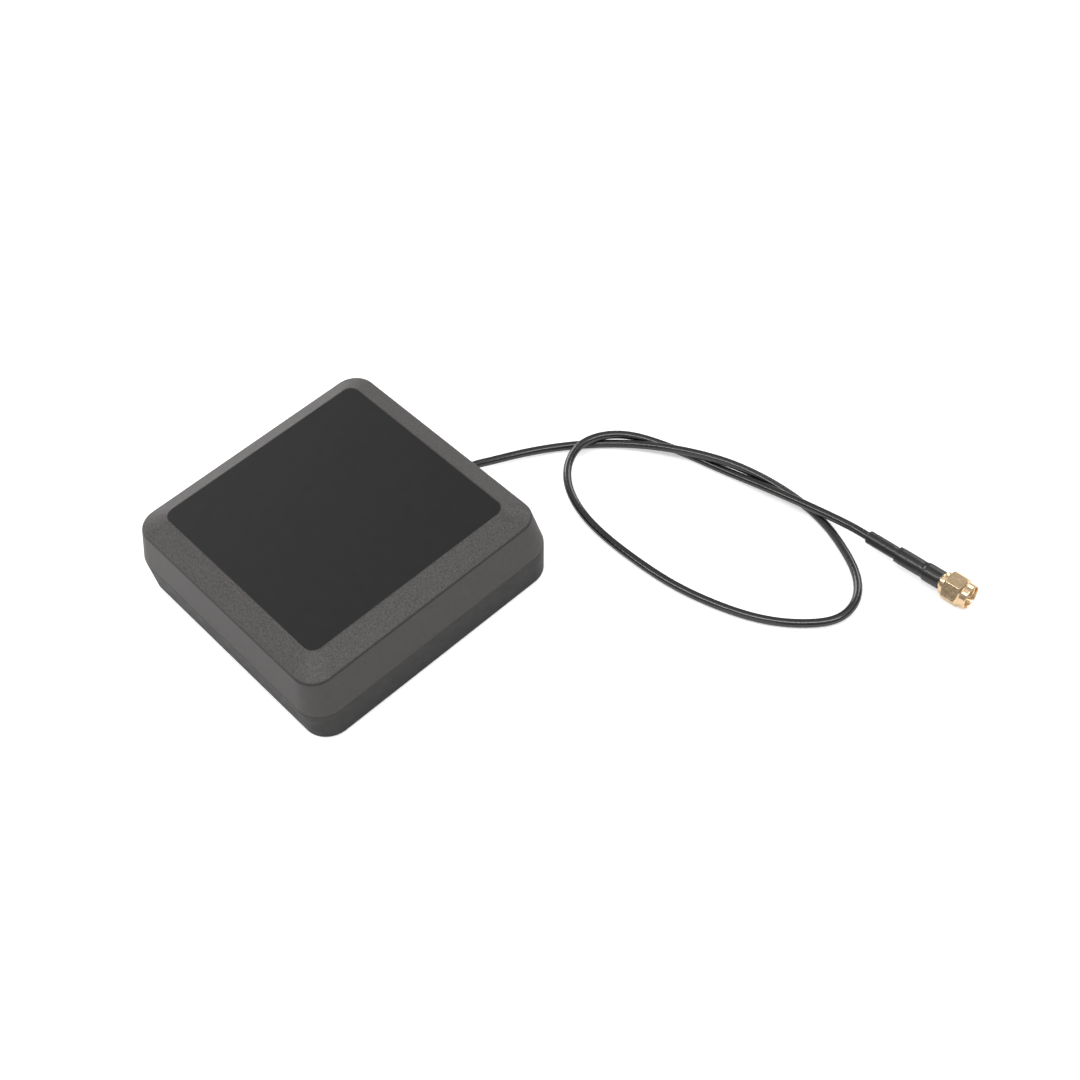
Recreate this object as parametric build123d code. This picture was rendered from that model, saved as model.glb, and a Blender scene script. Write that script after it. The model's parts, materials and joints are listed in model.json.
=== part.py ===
"""Active GNSS antenna: a square two-shell housing with stacked ceramic patches, an amplifier
board, and a thin coaxial lead that ends in a screw-on plug.

Millimetres. The origin is the centre of the housing's underside, +Z is up, and the lead
leaves the housing through the middle of its +Y side and lies on the ground.
"""
from build123d import *
import os

# ---------------------------------------------------------------- driving dimensions
# Housing: rounded squares, each given as (half width, corner radius, height)
FOOT = (41.9, 7.5, 0.0)            # underside of the base
PARTING = (42.7, 8.0, 11.2)        # joint between base and cover, the widest place
CREASE = (40.7, 6.8, 23.0)         # where the cover's wall turns into the sloping bevel
CROWN = (34.0, 3.4, 27.0)          # flat top
FOOT_FILLET = 0.8
CREASE_FILLET = 1.4
CROWN_FILLET = 1.6
SEAM_CHAMFER = 0.3                 # broken edges that leave a fine groove at the joint
WALL = 2.3
ROOF = 2.1
FLOOR = 2.4
LIP_HEIGHT = 1.8                   # alignment lip of the base, above the joint
LIP_THICKNESS = 1.1
LIP_GAP = 0.5                      # between lip and cover
BASE_WALL = 3.1                    # base wall at the joint, wide enough for the seal groove
SEAL_WIDTH = 0.9
SEAL_DEPTH = 1.0

# Fasteners
HOUSING_SCREW_PLACE = 34.0         # in x and y
HOUSING_SCREW_RADIUS = 1.5
HOUSING_SCREW_LENGTH = 15.0
HEAD_RADIUS = 2.75
HEAD_HEIGHT = 2.0
COUNTERBORE_DEPTH = 4.0
PILLAR_RADIUS = 4.0
BOARD_SCREW_PLACE = (32.0, 16.0)
BOARD_SCREW_RADIUS = 1.1
STANDOFF_RADIUS = 3.0

# Electronics
BOARD_WIDTH = 72.0
BOARD_THICKNESS = 1.6
BOARD_UNDERSIDE = 9.6
LOWER_PATCH = (56.0, 6.0)          # width, thickness
UPPER_PATCH = (38.0, 5.0)
LOWER_ELECTRODE = 46.0
UPPER_ELECTRODE = 31.0
ELECTRODE_THICKNESS = 0.1
LOWER_PAD_THICKNESS = 0.3
UPPER_PAD_THICKNESS = 0.2
FEED_PIN_RADIUS = 0.5
UPPER_FEED_PLACE = 7.0
LOWER_FEED_PLACE = 21.0
SHIELD = (40.0, 34.0, 4.0)
SHIELD_SHEET = 0.3
MAGNET_PLACE = 24.0
MAGNET_RADIUS = 6.0
MAGNET_THICKNESS = 2.8

# Coaxial cable: radii of its four layers
CORE_RADIUS = 0.255
INSULATION_RADIUS = 0.76
BRAID_RADIUS = 0.98
CABLE_RADIUS = 1.225
LAYER_GAP = 0.02                   # radial gap between neighbouring layers
INSULATION_BORE = CORE_RADIUS + LAYER_GAP
BRAID_BORE = BRAID_RADIUS + LAYER_GAP
STRIP_SHEATH = 8.6                 # how far each layer is cut back from the core's bare end
STRIP_BRAID = 4.4
STRIP_INSULATION = 2.2
FLEX_GAP = 1.28                    # from a bending place to the next stretch's flat end
GROMMET_NECK = 2.4

# Plug, along its own axis from where the cable becomes straight
PLUG_START = (99.3, 108.3, 4.0)
PLUG_YAW = 4.7                     # degrees from +X
FIT_GAP = 0.05                     # running clearance
LAYERS_FROM = 1.5                  # the plug end's inner layers are modelled from here
SHEATH_END = 12.4                  # the sheath ends at the crimp
SLEEVE_STEP = 10.9                 # the larger sleeve starts here, over the smaller one's end
BACK_START = 19.6                  # the body's back, which the larger sleeve also covers
SLEEVE_END = 25.4
INSULATION_END = 26.5
CORE_END = 28.8
RING_START = 28.0                  # the snap ring's rear face, with the nut pushed back
RING_THICKNESS = 0.5
BODY_END = 32.5
NUT_FLATS = 8.0                    # across flats; the nut rests on one flat
NUT_START = 26.2
NUT_HEXAGON = (27.2, 32.6)
NUT_END = 34.8
THREAD_PITCH = 25.4 / 36
THREAD_ROOT = 3.2
THREAD_CREST = 2.85

# ---------------------------------------------------------------- the cable's course
CORE_TIP = (0.0, 23.0, 8.35)       # bare end of the cable under the board
BOARD_STRAIGHT = 11.0              # straight length from there
EXIT_HEIGHT = 5.7                  # of the hole in the middle of the base's +Y wall
EXIT_STRAIGHT = (38.0, 47.0)       # the cable is straight between these, in the grommet
SWING_PIVOT = (0.5, 50.5, 5.1)     # the lead swings sideways here
LIFT_PIVOT = (2.1, 55.5, 3.9)      # and lifts here
BEND_PIVOT = (88.0, 106.7, 4.0)    # the plug's end bends sideways here

# One loose overhand turn: the strand from the housing passes under, over and under the
# strand that goes on to the plug
TURN_COURSE = [(4.3, 61.8, 2.7), (9, 71, 1.6), (15.3, 79.3, 1.3), (20.6, 84.2, 1.7), (27.1, 88.9, 2.5),
               (37.9, 94.7, 3.9), (47.4, 99.2, 4.2), (53, 101.6, 3.9), (59.6, 103.9, 3.1),
               (72, 106.2, 1.8), (86.6, 105.3, 1.3), (97.4, 101.7, 1.3), (106, 97, 1.3),
               (111.2, 90.5, 1.3), (111.8, 83.5, 1.3), (107.8, 77, 1.3), (97, 68.5, 1.3),
               (84, 63.2, 1.3), (71.3, 60.2, 1.3), (57.5, 59, 1.3), (43, 59.1, 1.4), (31.4, 61, 2.0),
               (20.5, 67.2, 3.2), (16.3, 76.5, 4.0), (19.7, 85.8, 3.7), (24.3, 90.3, 3.0),
               (30.9, 93.9, 2.1), (43.5, 98.1, 1.4), (52, 99.9, 1.6), (61.6, 101.8, 2.4),
               (71.5, 103.6, 3.3), (80.5, 105.3, 3.8)]

# ---------------------------------------------------------------- general helpers
EVERY_CORNER = [(1, 1), (-1, 1), (-1, -1), (1, -1)]
EVERY_SIDE = [(1, 0), (0, 1), (-1, 0), (0, -1)]


def save(name, *solids):
    """Write one node: a single solid, or several identical or matching ones as a group."""
    shape = solids[0] if len(solids) == 1 else Compound(children=list(solids))
    export_step(shape, f"parts/{name}.step")


def rounded_square(half, corner, height):
    return Plane.XY.offset(height) * RectangleRounded(2 * half, 2 * half, corner)


def frustum(lower, upper):
    """Solid between two rounded squares."""
    return loft([rounded_square(*lower), rounded_square(*upper)], ruled=True)


def square_ring(outer, inner, corner, low, high):
    """Upright ring of rounded square plan, from half width inner to outer."""
    ring = rounded_square(outer, corner, low) - rounded_square(inner, corner - (outer - inner), low)
    return extrude(ring, high - low)


def disc(x, y, low, high, radius):
    return Pos(x, y, low) * Cylinder(radius, high - low, align=(Align.CENTER, Align.CENTER, Align.MIN))


def block(x, y, low, length, width, height):
    return Pos(x, y, low) * Box(length, width, height, align=(Align.CENTER, Align.CENTER, Align.MIN))


def edges_at(shape, height, tolerance=0.05):
    """Edges that lie level at the given height."""
    level = shape.edges().filter_by(lambda edge: edge.bounding_box().size.Z < tolerance)
    return level.filter_by(lambda edge: abs(edge.center().Z - height) < tolerance)


def on_corners(place, make):
    """One solid at each of the four corners (+-place, +-place)."""
    return [make(place * sx, place * sy) for sx, sy in EVERY_CORNER]


def joined(first, others):
    for other in others:
        first = first + other
    return first


def cut(first, others):
    for other in others:
        first = first - other
    return first


def inset(section, amount, drop=0.0):
    half, corner, height = section
    return (half - amount, corner - amount, height - drop)


def seam_edge(rise):
    """The parting section, with its edge broken on the side that rise points away from."""
    half, corner, height = PARTING
    return (half, corner, height + rise)


# ---------------------------------------------------------------- housing
def cover_outside():
    outside = frustum(seam_edge(SEAM_CHAMFER), CREASE) + frustum(CREASE, CROWN)
    outside = fillet(edges_at(outside, CREASE[2]), CREASE_FILLET)
    outside = fillet(edges_at(outside, CROWN[2]), CROWN_FILLET)
    return outside + frustum(inset(PARTING, SEAM_CHAMFER), seam_edge(SEAM_CHAMFER))


def radome_cover():
    """Upper shell, with four screw bosses that reach down to the base's pillars."""
    outside = cover_outside()
    rim = inset(PARTING, WALL)
    shoulder = inset(CREASE, WALL, 0.9)
    ceiling = (CROWN[0] - 1.2, CROWN[1] - 1.2, CROWN[2] - ROOF)
    hollow = frustum(rim, shoulder) + frustum(shoulder, ceiling)
    boss_foot = PARTING[2] + 0.1
    bosses = on_corners(HOUSING_SCREW_PLACE, lambda x, y: disc(x, y, boss_foot, CREASE[2] + 2, 3.5) & outside)
    pilot_top = COUNTERBORE_DEPTH + HOUSING_SCREW_LENGTH + 0.5
    pilots = on_corners(HOUSING_SCREW_PLACE,
                        lambda x, y: disc(x, y, boss_foot, pilot_top, HOUSING_SCREW_RADIUS + LAYER_GAP))
    return cut(joined(outside - hollow, bosses), pilots)


def board_screw_places():
    x, y = BOARD_SCREW_PLACE
    return [(x * sx, y * sy) for sx, sy in EVERY_CORNER]


def base_shell():
    """Lower tray: seal groove, lip, screw pillars, board standoffs, magnet cups and lead hole."""
    top = PARTING[2]
    outside = fillet(edges_at(frustum(FOOT, seam_edge(-SEAM_CHAMFER)), 0.0), FOOT_FILLET)
    outside = outside + frustum(seam_edge(-SEAM_CHAMFER), inset(PARTING, SEAM_CHAMFER))
    inner_half = PARTING[0] - BASE_WALL
    inner_corner = PARTING[1] - BASE_WALL
    tray = outside - extrude(rounded_square(inner_half, inner_corner, FLOOR), top)
    lip_half = PARTING[0] - WALL - LIP_GAP
    tray = tray + square_ring(lip_half, lip_half - LIP_THICKNESS, inner_corner, top - 2.4, top + LIP_HEIGHT)
    tray = joined(tray, on_corners(HOUSING_SCREW_PLACE, lambda x, y: disc(x, y, FLOOR, top, PILLAR_RADIUS)))
    standoffs = [disc(x, y, FLOOR, BOARD_UNDERSIDE, STANDOFF_RADIUS) for x, y in board_screw_places()]
    cups = on_corners(MAGNET_PLACE, lambda x, y: disc(x, y, FLOOR, FLOOR + 1.6, MAGNET_RADIUS + 1.1))
    tray = joined(tray, standoffs + cups)
    cup_hollows = on_corners(MAGNET_PLACE, lambda x, y: disc(x, y, FLOOR, FLOOR + 1.6, MAGNET_RADIUS + 0.1))
    shank_hole = HOUSING_SCREW_RADIUS + 0.15
    head_hole = HEAD_RADIUS + 0.25
    shank_holes = on_corners(HOUSING_SCREW_PLACE, lambda x, y: disc(x, y, 0, top, shank_hole))
    head_holes = on_corners(HOUSING_SCREW_PLACE, lambda x, y: disc(x, y, 0, COUNTERBORE_DEPTH, head_hole))
    board_holes = [disc(x, y, FLOOR + 1, BOARD_UNDERSIDE, BOARD_SCREW_RADIUS + LAYER_GAP)
                   for x, y in board_screw_places()]
    seal_half = PARTING[0] - 1.1
    groove = square_ring(seal_half, seal_half - SEAL_WIDTH - 0.1, PARTING[1] - 1.1, top - SEAL_DEPTH, top + 1)
    groove = groove & extrude(rounded_square(PARTING[0], PARTING[1], top - SEAL_DEPTH), SEAL_DEPTH)
    lead_hole = Pos(0, PARTING[0], EXIT_HEIGHT) * Rot(X=90) * Cylinder(GROMMET_NECK + 0.05, 8)
    wall_here = block(0, PARTING[0], top - 2.5, 12, 2 * BASE_WALL, 5)
    lip_notch = block(0, lip_half, top - 2.5, 10, 4, 5) - wall_here
    return cut(tray, cup_hollows + shank_holes + head_holes + board_holes + [groove, lead_hole, lip_notch])


def cover_seal():
    """Silicone cord, square in section, lying in the base's groove."""
    half = PARTING[0] - 1.15
    return square_ring(half, half - SEAL_WIDTH, PARTING[1] - 1.15, PARTING[2] - SEAL_DEPTH, PARTING[2])


def cross_recess(radius, low, depth):
    """Cross-shaped driver recess."""
    slot = Box(2 * radius, 0.35 * radius, depth, align=(Align.CENTER, Align.CENTER, Align.MIN))
    return Pos(0, 0, low) * (slot + Rot(Z=90) * slot)


def housing_screws():
    """Four cross-head screws, driven up from below."""
    head = disc(0, 0, COUNTERBORE_DEPTH - HEAD_HEIGHT, COUNTERBORE_DEPTH, HEAD_RADIUS)
    head = fillet(edges_at(head, COUNTERBORE_DEPTH - HEAD_HEIGHT), 0.7)
    shank = disc(0, 0, COUNTERBORE_DEPTH, COUNTERBORE_DEPTH + HOUSING_SCREW_LENGTH, HOUSING_SCREW_RADIUS)
    shank = chamfer(edges_at(shank, COUNTERBORE_DEPTH + HOUSING_SCREW_LENGTH), 0.5)
    screw = head + shank - cross_recess(1.6, COUNTERBORE_DEPTH - HEAD_HEIGHT, 1.2)
    return on_corners(HOUSING_SCREW_PLACE, lambda x, y: Pos(x, y, 0) * screw)


def base_magnets():
    def magnet(x, y):
        blank = disc(x, y, FLOOR, FLOOR + MAGNET_THICKNESS, MAGNET_RADIUS)
        return chamfer(blank.edges().filter_by(GeomType.CIRCLE), 0.25)
    return on_corners(MAGNET_PLACE, magnet)


def cable_grommet():
    """Rubber bush in the base wall: two flanges, a neck between them and a short tail."""
    inner_face = PARTING[0] - BASE_WALL
    outer_face = PARTING[0] - 0.05
    bore = CABLE_RADIUS + 0.03
    tail_end = outer_face + 4.6
    profile = [(inner_face - 1.3, bore), (inner_face - 1.3, 3.1), (inner_face - 0.1, 3.1),
               (inner_face - 0.1, GROMMET_NECK), (outer_face, GROMMET_NECK), (outer_face, 3.3),
               (outer_face + 0.9, 3.1), (outer_face + 1.4, 2.5), (tail_end, 1.9), (tail_end, bore)]
    along_y = Plane(origin=(0, 0, EXIT_HEIGHT), x_dir=(0, 1, 0), z_dir=(1, 0, 0))
    return along_y * turned(profile)


# ---------------------------------------------------------------- electronics
def patch_stack():
    """Heights of the stacked layers on the board: pad, ceramic, electrode, pad, ceramic, electrode."""
    levels = [BOARD_UNDERSIDE + BOARD_THICKNESS]
    for thickness in (LOWER_PAD_THICKNESS, LOWER_PATCH[1], ELECTRODE_THICKNESS,
                      UPPER_PAD_THICKNESS, UPPER_PATCH[1], ELECTRODE_THICKNESS):
        levels.append(levels[-1] + thickness)
    return levels


def feed_holes(place, low, high, radius):
    return [disc(place * sx, place * sy, low, high, radius) for sx, sy in EVERY_SIDE]


def stack_sheet(width, corner, low, high):
    """One square layer of the stack, drilled for every feed pin that passes through it."""
    sheet = extrude(rounded_square(width / 2, corner, low), high - low)
    sheet = cut(sheet, feed_holes(UPPER_FEED_PLACE, low, high, FEED_PIN_RADIUS + 0.1))
    if width / 2 > LOWER_FEED_PLACE:
        sheet = cut(sheet, feed_holes(LOWER_FEED_PLACE, low, high, FEED_PIN_RADIUS + 0.1))
    return sheet


def amplifier_board():
    """Circuit board, cut back at its corners round the housing's screw pillars."""
    top = BOARD_UNDERSIDE + BOARD_THICKNESS
    board = stack_sheet(BOARD_WIDTH, 2.0, BOARD_UNDERSIDE, top)
    board = cut(board, on_corners(HOUSING_SCREW_PLACE, lambda x, y: disc(x, y, 0, top, PILLAR_RADIUS + 1.2)))
    return cut(board, [disc(x, y, 0, top, BOARD_SCREW_RADIUS + 0.2) for x, y in board_screw_places()])


def board_screws():
    top = BOARD_UNDERSIDE + BOARD_THICKNESS
    head = fillet(edges_at(disc(0, 0, top, top + 1.4, 2.1), top + 1.4), 0.6)
    screw = head + disc(0, 0, top - 6.5, top, BOARD_SCREW_RADIUS) - cross_recess(1.2, top + 0.6, 0.8)
    return [Pos(x, y, 0) * screw for x, y in board_screw_places()]


def shield_can():
    """Folded tin box under the board, open upwards."""
    length, width, height = SHIELD
    low = BOARD_UNDERSIDE - height
    can = block(0, 0, low, length, width, height)
    can = fillet(can.edges().filter_by(Axis.Z), 0.8)
    inside = block(0, 0, low + SHIELD_SHEET, length - 2 * SHIELD_SHEET, width - 2 * SHIELD_SHEET, height)
    return can - inside


def under_board(places, length, width, height):
    """Matching parts soldered to the board's underside."""
    return [block(x, y, BOARD_UNDERSIDE - height, length, width, height) for x, y in places]


def feed_pins(place, head_foot, lowest):
    """Four round-headed pins on the four sides of a patch's centre."""
    def pin(x, y):
        return disc(x, y, lowest, head_foot, FEED_PIN_RADIUS) + disc(x, y, head_foot, head_foot + 0.5, 1.1)
    return [pin(place * sx, place * sy) for sx, sy in EVERY_SIDE]


def solder_joints():
    """Solder cones round every feed pin under the board, and one on the cable's core."""
    def cone(x, y, foot, low_radius, high_radius):
        standing = (Align.CENTER, Align.CENTER, Align.MIN)
        return Pos(x, y, foot) * Cone(low_radius, high_radius, BOARD_UNDERSIDE - foot, align=standing)

    feeds = (UPPER_FEED_PLACE, LOWER_FEED_PLACE)
    places = [(place * sx, place * sy) for place in feeds for sx, sy in EVERY_SIDE]
    pin_hole = FEED_PIN_RADIUS + 0.01
    joints = [cone(x, y, BOARD_UNDERSIDE - 0.7, 0.6, 1.0) - disc(x, y, 0, BOARD_UNDERSIDE, pin_hole)
              for x, y in places]
    x, y, z = CORE_TIP
    blob = cone(x, y + 0.9, z - 0.3, 0.5, 0.8)
    return joints + [blob - bar(Vector(CORE_TIP), (0, 1, 0), STRIP_BRAID, CORE_RADIUS + 0.01)]


def braid_clip():
    """Metal saddle that holds the cable's braid to the board."""
    start = Vector(CORE_TIP) + Vector(0, STRIP_BRAID + 0.6, 0)
    leg_height = BOARD_UNDERSIDE - start.Z
    plane = Plane(origin=start, x_dir=(-1, 0, 0), z_dir=(0, 1, 0))
    legs = Pos(0, leg_height / 2) * Rectangle(2.8, leg_height)
    saddle = Circle(1.4) & Pos(0, -2) * Rectangle(4, 4)
    return extrude(plane * (legs + saddle - Circle(BRAID_BORE)), 2.6)


# ---------------------------------------------------------------- coaxial cable
def plug_frame():
    return Pos(PLUG_START) * Rot(Z=PLUG_YAW)


def plug_point(along):
    return (plug_frame() * Pos(along, 0, 0)).position


def sheath_rod(path):
    """Solid round sheath along a line."""
    return sweep(Plane(origin=path @ 0, z_dir=path % 0) * Circle(CABLE_RADIUS), path=path)


def inside_course():
    """Sheath's centre line in the housing: off the board, down to the grommet and through it."""
    off_board = Vector(CORE_TIP) + Vector(0, BOARD_STRAIGHT, 0)
    grommet_start = Vector(0, EXIT_STRAIGHT[0], EXIT_HEIGHT)
    grommet_end = Vector(0, EXIT_STRAIGHT[1], EXIT_HEIGHT)
    along_y = (0, 1, 0)
    return [Spline(off_board, grommet_start, tangents=(along_y, along_y)), Line(grommet_start, grommet_end)]


def free_course():
    """Centre line of the lead outside, from the grommet to the crimp in the plug."""
    straight = (0, EXIT_STRAIGHT[1], EXIT_HEIGHT), (0, EXIT_STRAIGHT[1] + 1, EXIT_HEIGHT)
    plug_axis = [plug_point(along) for along in (-3, 0, SHEATH_END / 2, SHEATH_END)]
    return Spline(*straight, SWING_PIVOT, LIFT_PIVOT, *TURN_COURSE, BEND_PIVOT, *plug_axis)


def ball(pivot):
    """Round end of a stretch at a bending place, so that the next one can turn about it."""
    return Pos(pivot) * Sphere(CABLE_RADIUS - 0.002)


def stretch_from(course, pivot, end):
    """Stretch of sheath that starts just clear of the ball at a pivot."""
    start = course.param_at_point(pivot) + FLEX_GAP / course.length
    return sheath_rod(course.trim(start, end))


def sheath_entry(course):
    """From the board to the first bending place; hollow where the layers are laid bare."""
    stripped = Vector(CORE_TIP) + Vector(0, STRIP_SHEATH, 0)
    solid_from = Vector(CORE_TIP) + Vector(0, BOARD_STRAIGHT, 0)
    hollow = sheath_rod(Line(stripped, solid_from)) - bar(stripped, (0, 1, 0), BOARD_STRAIGHT, BRAID_BORE)
    outside = course.trim(0, course.param_at_point(SWING_PIVOT))
    return joined(hollow, [sheath_rod(line) for line in (*inside_course(), outside)]) + ball(SWING_PIVOT)


def sheath_neck(course):
    end = course.param_at_point(LIFT_PIVOT)
    return stretch_from(course, SWING_PIVOT, end) + ball(LIFT_PIVOT)


def sheath_turn(course):
    end = course.param_at_point(BEND_PIVOT)
    return stretch_from(course, LIFT_PIVOT, end) + ball(BEND_PIVOT)


def sheath_tail(course):
    """From the last bending place into the plug's sleeves, hollow where the layers are laid bare."""
    hollow = bar(plug_point(LAYERS_FROM), plug_point(1) - plug_point(0), SHEATH_END, BRAID_BORE)
    return stretch_from(course, BEND_PIVOT, 1.0) - hollow


def bar(start, direction, length, radius):
    """Straight round bar from a point."""
    return Plane(origin=start, z_dir=direction) * Cylinder(
        radius, length, align=(Align.CENTER, Align.CENTER, Align.MIN))


def board_end_layer(strip, outer, inner=0.0):
    """One inner layer at the board's end of the cable."""
    start = Vector(CORE_TIP) + Vector(0, strip, 0)
    layer = bar(start, (0, 1, 0), BOARD_STRAIGHT - strip, outer)
    if inner:
        layer = layer - bar(start, (0, 1, 0), BOARD_STRAIGHT, inner)
    return layer


def plug_end_core():
    profile = [(LAYERS_FROM, 0), (LAYERS_FROM, CORE_RADIUS), (CORE_END, CORE_RADIUS), (CORE_END, 0)]
    return on_plug(turned(profile))


def plug_end_insulation():
    profile = [(LAYERS_FROM, INSULATION_BORE), (LAYERS_FROM, INSULATION_RADIUS),
               (INSULATION_END, INSULATION_RADIUS), (INSULATION_END, INSULATION_BORE)]
    return on_plug(turned(profile))


# ---------------------------------------------------------------- plug
def turned(profile):
    """Solid of revolution about the local X axis from (along, radius) points."""
    outline = Polyline(*[(along, 0, radius) for along, radius in profile], close=True)
    return revolve(make_face(outline), Axis.X)


def on_plug(shape):
    return plug_frame() * shape


def plug_end_braid():
    """Braid, opened out over the plug's hollow spigot at its end."""
    bore = INSULATION_RADIUS + LAYER_GAP
    opened = [(SHEATH_END + 0.9, 1.18), (19.0, 1.18), (19.0, 1.42), (SHEATH_END + 1.0, 1.42)]
    profile = [(LAYERS_FROM, bore), (SHEATH_END, bore), *opened, (SHEATH_END, BRAID_RADIUS),
               (LAYERS_FROM, BRAID_RADIUS)]
    return on_plug(turned(profile))


def cable_sleeve():
    """Shrunk tube on the cable behind the plug."""
    bore = CABLE_RADIUS + 0.04
    outside = [(1.0, 1.78), (1.15, 1.9), (9.5, 1.9), (10.3, 1.82), (11.9, 1.80)]
    return on_plug(turned([(1.0, bore), *outside, (11.9, bore)]))


def plug_sleeve():
    """Shrunk tube over the crimp and the back of the plug, drawn in at every step beneath it."""
    crimp_part = [(SLEEVE_STEP, 1.95), (11.1, 2.14), (11.5, 2.33), (12.1, 2.39), (18.4, 2.37), (19.2, 2.28)]
    back_part = [(19.8, 2.36), (20.3, 2.62), (20.8, 2.68), (25.2, 2.66), (SLEEVE_END, 2.58)]
    inside = [(SLEEVE_END, 2.27), (BACK_START, 2.27), (BACK_START, 1.92), (SLEEVE_STEP, 1.92)]
    return on_plug(turned(crimp_part + back_part + inside))


def crimp_ferrule():
    return on_plug(turned([(12.6, 1.46), (12.6, 1.80), (12.7, 1.9), (19.4, 1.9), (19.5, 1.80), (19.5, 1.46)]))


def plug_body():
    """Turned brass body: spigot, back, ring groove, flange and contact shell."""
    spigot_and_back = [(13.5, 0.80), (13.5, 1.15), (19.7, 1.15), (19.7, 2.10), (20.2, 2.25), (25.7, 2.25)]
    barrel_and_ring_groove = [(25.7, 2.5), (27.9, 2.5), (27.9, 2.05), (28.8, 2.05), (28.8, 2.5), (29.4, 2.5)]
    flange = [(29.4, 2.72), (30.1, 2.72), (30.1, 2.295)]
    contact_shell = [(BODY_END - 0.1, 2.295), (BODY_END, 2.2), (BODY_END, 2.04), (29.4, 2.04)]
    inside = [(29.4, 1.64), (INSULATION_END, 1.64), (INSULATION_END, 0.80)]
    return on_plug(turned(spigot_and_back + barrel_and_ring_groove + flange + contact_shell + inside))


def plug_insulator():
    profile = [(26.6, 0.64), (26.6, 1.62), (29.42, 1.62), (29.42, 2.02), (BODY_END, 2.02), (BODY_END, 0.48),
               (31.4, 0.48), (31.4, 0.64)]
    return on_plug(turned(profile))


def centre_pin():
    profile = [(26.7, 0.28), (26.7, 0.62), (31.3, 0.62), (31.3, 0.46), (33.9, 0.46), (34.3, 0.16), (34.3, 0),
               (28.9, 0.0), (28.9, 0.28)]
    return on_plug(turned(profile))


def snap_ring():
    """Split ring that holds the nut on the body."""
    ring = turned([(RING_START, 2.15), (RING_START, 2.95), (RING_START + RING_THICKNESS, 2.95),
                   (RING_START + RING_THICKNESS, 2.15)])
    return on_plug(ring - Pos(RING_START, 0, 2.5) * Box(4, 1.2, 2))


def plug_gasket():
    return on_plug(turned([(30.12, 2.33), (30.12, 2.70), (30.7, 2.70), (30.7, 2.33)]))


def coupling_nut():
    """Hexagonal nut with a round collar behind and a round skirt in front, threaded inside."""
    low, high = NUT_HEXAGON
    hexagon = extrude(Plane.YZ.offset(low) * RegularPolygon(NUT_FLATS / 2, 6, major_radius=False), high - low)
    corners_cut = turned([(low, 0), (low, 3.75), (low + 0.75, 4.7), (high - 0.85, 4.7), (high, 3.72),
                          (high, 0)])
    collar = turned([(NUT_START, 0), (NUT_START, 3.1), (NUT_START + 0.2, 3.3), (low, 3.3), (low, 0)])
    skirt = turned([(high, 0), (high, 3.6), (NUT_END - 0.25, 3.6), (NUT_END, 3.35), (NUT_END, 0)])
    barrel_bore = 2.5 + FIT_GAP
    ring_bore = 3.0
    rear = RING_START - FIT_GAP
    front = RING_START + RING_THICKNESS + FIT_GAP
    thread_start = 30.6
    clearance = THREAD_ROOT - 0.02
    bore = [(NUT_START - 1, 0), (NUT_START - 1, barrel_bore), (rear, barrel_bore), (rear, ring_bore),
            (front, ring_bore), (front, THREAD_CREST), (front + 0.4, clearance), (thread_start, clearance)]
    hollow = turned(bore + thread_profile(thread_start, NUT_END) + [(NUT_END + 1, 0)])
    return on_plug((hexagon & corners_cut) + collar + skirt - hollow)


def thread_profile(low, high):
    """Ring-shaped stand-in for the nut's inner thread: 36 turns to the inch, 60 degree flanks."""
    lead_in = 0.35
    points = []
    along = low
    while along + THREAD_PITCH < high - lead_in - 0.25:
        points += [(along, THREAD_ROOT), (along + 0.4 * THREAD_PITCH, THREAD_CREST),
                   (along + 0.6 * THREAD_PITCH, THREAD_CREST)]
        along += THREAD_PITCH
    mouth = [(high - lead_in, THREAD_ROOT), (high + 0.5, THREAD_ROOT + 0.3), (high + 1, THREAD_ROOT + 0.3)]
    return points + [(along, THREAD_ROOT)] + mouth


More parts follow.
